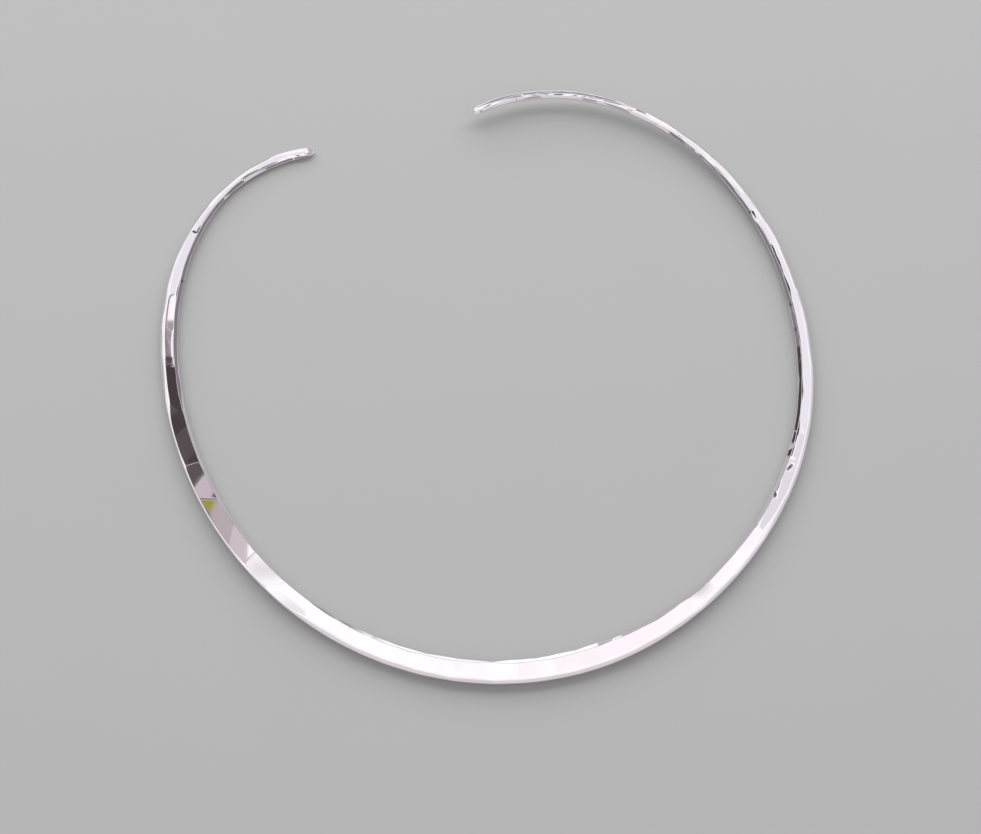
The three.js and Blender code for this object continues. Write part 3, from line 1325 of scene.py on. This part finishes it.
@dataclass
class Studio:
    """Everything that isn't the ring: the floor, the light, the cards and the camera, in metres.

    Attributes:
        key: the softbox.
        cards: what the silver shows near by.
        panels: what it shows on the walls of the room.
        floor: the floor's finish.
        floor_size: its side.
        zenith: light of the room straight above.
        horizon: light of the room at the horizon.
        climb: where from the horizon (0) to the zenith (1) it brightens.
        mottle: tint of the thicker places in the diffusers.
        mottle_scale: how fine they are.
        mottle_band: where in the noise they fade in.
        backdrop: the plain colour behind the floor.
        spill: how much of the room's light falls on the floor.
        lens: the camera's lens and sensor in millimetres.
        clip: the nearest and furthest it sees.
        distance: of the camera from what it looks at.
        elevation: of the camera above the horizon, in degrees.
        target: what it looks at.
    """

    key: SoftLight
    cards: tuple[Card, ...]
    panels: tuple[Panel, ...]
    floor: FloorFinish = FloorFinish()
    floor_size: float = 1.7
    zenith: Colour = (1.08, 1.07, 1.08)
    horizon: Colour = (0.26, 0.23, 0.26)
    climb: Pair = (0.02, 0.55)
    mottle: Colour = (0.975, 0.93, 0.965)
    mottle_scale: float = 9.0
    mottle_band: Pair = (0.46, 0.6)
    backdrop: Colour = (0.62, 0.62, 0.62)
    spill: float = 0.55
    lens: Pair = (100.0, 36.0)
    clip: Pair = (0.01, 20.0)
    distance: float = 0.5853
    elevation: float = 82.0
    target: Trio = (0.000818, -0.007033, 0.0)

    def build(self) -> None:
        """Sets up the floor, the room, the light, the cards and the camera."""
        self.lay_floor()
        self.fill_room()
        for thing in (self.key, *self.cards):
            thing.build()
            LOG.info("studio %s", thing.name)
        self.stand_camera()

    def lay_floor(self) -> None:
        """Lays the floor under the ring."""
        half = self.floor_size / 2
        mesh = bpy.data.meshes.new("studio_floor")
        corners = [(-half, -half, 0.0), (half, -half, 0.0), (half, half, 0.0), (-half, half, 0.0)]
        mesh.from_pydata(corners, [], [(0, 1, 2, 3)])
        mesh.materials.append(self.floor.build())
        link_object("studio_floor", mesh)

    def fill_room(self) -> None:
        """Fills the room with soft light: brighter overhead, with a few panels round the walls."""
        world = bpy.data.worlds.new("studio_room")
        world.use_nodes = True
        bpy.context.scene.world = world
        sheet = NodeSheet(world.node_tree)
        direction = sheet.value("ShaderNodeTexCoord", out="Generated")
        x, y, z = sheet.split(direction)
        climb = sheet.math("DIVIDE", sheet.math("ARCSINE", z), math.pi / 2)
        light = sheet.tint(sheet.ramp(climb, *self.climb), self.horizon, self.zenith)
        for panel in self.panels:
            light = sheet.tint(panel.mask(sheet, x, y, z), light, panel.colour)
        noise = sheet.noise(direction, self.mottle_scale, detail=1.0)
        light = sheet.tint(sheet.ramp(noise, *self.mottle_band), light, self.mottle, "MULTIPLY")
        rays = sheet.add("ShaderNodeLightPath").outputs
        light = sheet.tint(rays["Is Camera Ray"], light, self.backdrop)
        strength = sheet.line(rays["Is Diffuse Ray"], self.spill - 1.0, 1.0)
        background = world.node_tree.nodes["Background"]
        sheet.feed(background, "Strength", strength)
        sheet.feed(background, "Color", light)

    def stand_camera(self) -> None:
        """Stands the camera up, looking down at the ring from the front."""
        data = bpy.data.cameras.new("camera")
        data.lens, data.sensor_width = self.lens
        data.clip_start, data.clip_end = self.clip
        camera = link_object("camera", data)
        tilt = math.radians(self.elevation)
        back = Vector((0.0, -math.cos(tilt), math.sin(tilt)))
        camera.location = Vector(self.target) + back * self.distance
        camera.rotation_euler = (-back).to_track_quat("-Z", "Y").to_euler()
        bpy.context.scene.camera = camera
        bpy.context.scene.view_settings.view_transform = "Standard"


CARD_MAP = "card_map"
KEY = SoftLight("key_softbox", (-0.05, 1.2, 0.68), (3.4, 1.0), 41.0)
LOW, HIGH, UPRIGHT = (0.1, 0.1), (0.353, 0.353), (0.006, 0.045)
LOWER, LOWEST = (0.3499, 0.3499), (0.3498, 0.3498)
DARK, DIM = (0.066, 0.05, 0.054), (0.1, 0.084, 0.088)
CARDS = (
    Card("lavender_left", (-0.24, -0.034), (0.095, 0.28), (0.86, 0.83, 0.9), HIGH),
    Card("lavender_right", (0.045, 0.2), (0.04, 0.2), (0.88, 0.85, 0.92), HIGH, 0.004),
    Card("pearl_right", (0.09, 0.2), (-0.002, 0.041), (0.8, 0.76, 0.82), HIGH),
    Card("left_flag", (-0.034, -0.009), (0.05, 0.094), (0.2, 0.18, 0.2), (0.352, 0.352), 0.002),
    Card("right_flag", (0.009, 0.034), (0.05, 0.094), DARK, (0.352, 0.352), 0.002),
    Card("tip_veil", (0.0, 0.042), (0.08, 0.106), (0.4, 0.39, 0.43), LOW, 0.002),
    Card("tip_flag", (-0.03, 0.076), (0.14, 0.2), (0.3, 0.28, 0.32), LOW, 0.004),
    Card("upper_grey", (-0.19, -0.1095), (0.063, 0.095), (0.26, 0.225, 0.235)),
    Card("upper_pale", (-0.1095, -0.0985), (0.063, 0.095), (0.36, 0.325, 0.34)),
    Card("upper_slip", (-0.0985, -0.088), (0.0835, 0.095), (0.36, 0.325, 0.34)),
    Card("dark_corner", (-0.105, -0.04), (0.06, 0.068), DARK, LOWER),
    Card("dark_middle", (-0.2, -0.04), (0.0131, 0.063), DARK),
    Card("dark_lower", (-0.2, -0.04), (0.0131, 0.0376), DIM, LOWER),
    Card("pink", (-0.2, -0.101), (0.0131, 0.0185), (0.6, 0.5, 0.56), LOWEST),
    Card("dark_slip", (-0.2, -0.101), (0.0075, 0.0131), DIM, LOWER),
    Card("dark_foot", (-0.2, -0.111), (-0.003, 0.004), DIM, LOWER),
    Card("green", (-0.111, -0.1), (-0.003, 0.004), (0.34, 0.32, 0.045), LOWER),
    Card("mauve", (-0.2, -0.086), (-0.03, 0.0131), (0.5, 0.43, 0.46)),
    Card("mauve_pale", (-0.086, -0.0736), (-0.02, 0.0098), (0.62, 0.55, 0.58)),
    Card("blush", (-0.0736, -0.0615), (-0.008, 0.0098), (0.82, 0.77, 0.8), edge=0.006),
    Card("blush_front", (-0.086, -0.07), (-0.036, -0.02), (0.84, 0.8, 0.84), edge=0.008),
    Card("floor_grey", (-0.02, 0.05), (-0.045, 0.0), (0.4, 0.37, 0.42), (0.025, 0.025), 0.004),
    Card("dark_screen", (-0.029, -0.029), (0.0135, 0.0325), DARK, UPRIGHT, 0.002),
    Card("grey_screen", (-0.03, -0.03), (-0.046, 0.026), (0.22, 0.2, 0.22), UPRIGHT, 0.002),
    Card("pale_screen", (-0.031, -0.031), (0.028, 0.128), (0.5, 0.46, 0.5), UPRIGHT, 0.002),
)
PANELS = (
    Panel("window", 0, 8, 15, 14, (12, 8), (1.12, 1.12, 1.15)),
    Panel("front_wall", 180, 0, 55, 20, (25, 60), (0.72, 0.67, 0.7)),
    Panel("left_wall", -90, 6, 30, 16, (14, 10), (1.0, 0.98, 1.0)),
    Panel("right_low", 90, 8, 40, 14, (14, 10), (0.68, 0.66, 0.7)),
    Panel("right_wall", 90, 46, 45, 16, (14, 14), (1.0, 0.98, 1.0)),
)


def main() -> None:
    """Builds the finishes, the ring and the studio."""
    logging.basicConfig(level=logging.INFO, format="%(name)s: %(message)s")
    effects = {effect: make() for effect, make in EFFECT_MAKERS.items()}
    polished, rested = POLISHED.build(effects), RESTED.build(effects)
    torc = Torc(BarLine(STATIONS))
    piece = torc.build(polished, rested)
    torc.dress(piece)
    mesh = piece.data
    LOG.info("piece %s: %d faces, %d points", piece.name, len(mesh.polygons), len(mesh.vertices))
    Studio(KEY, CARDS, PANELS).build()


if __name__ == "__main__":
    main()
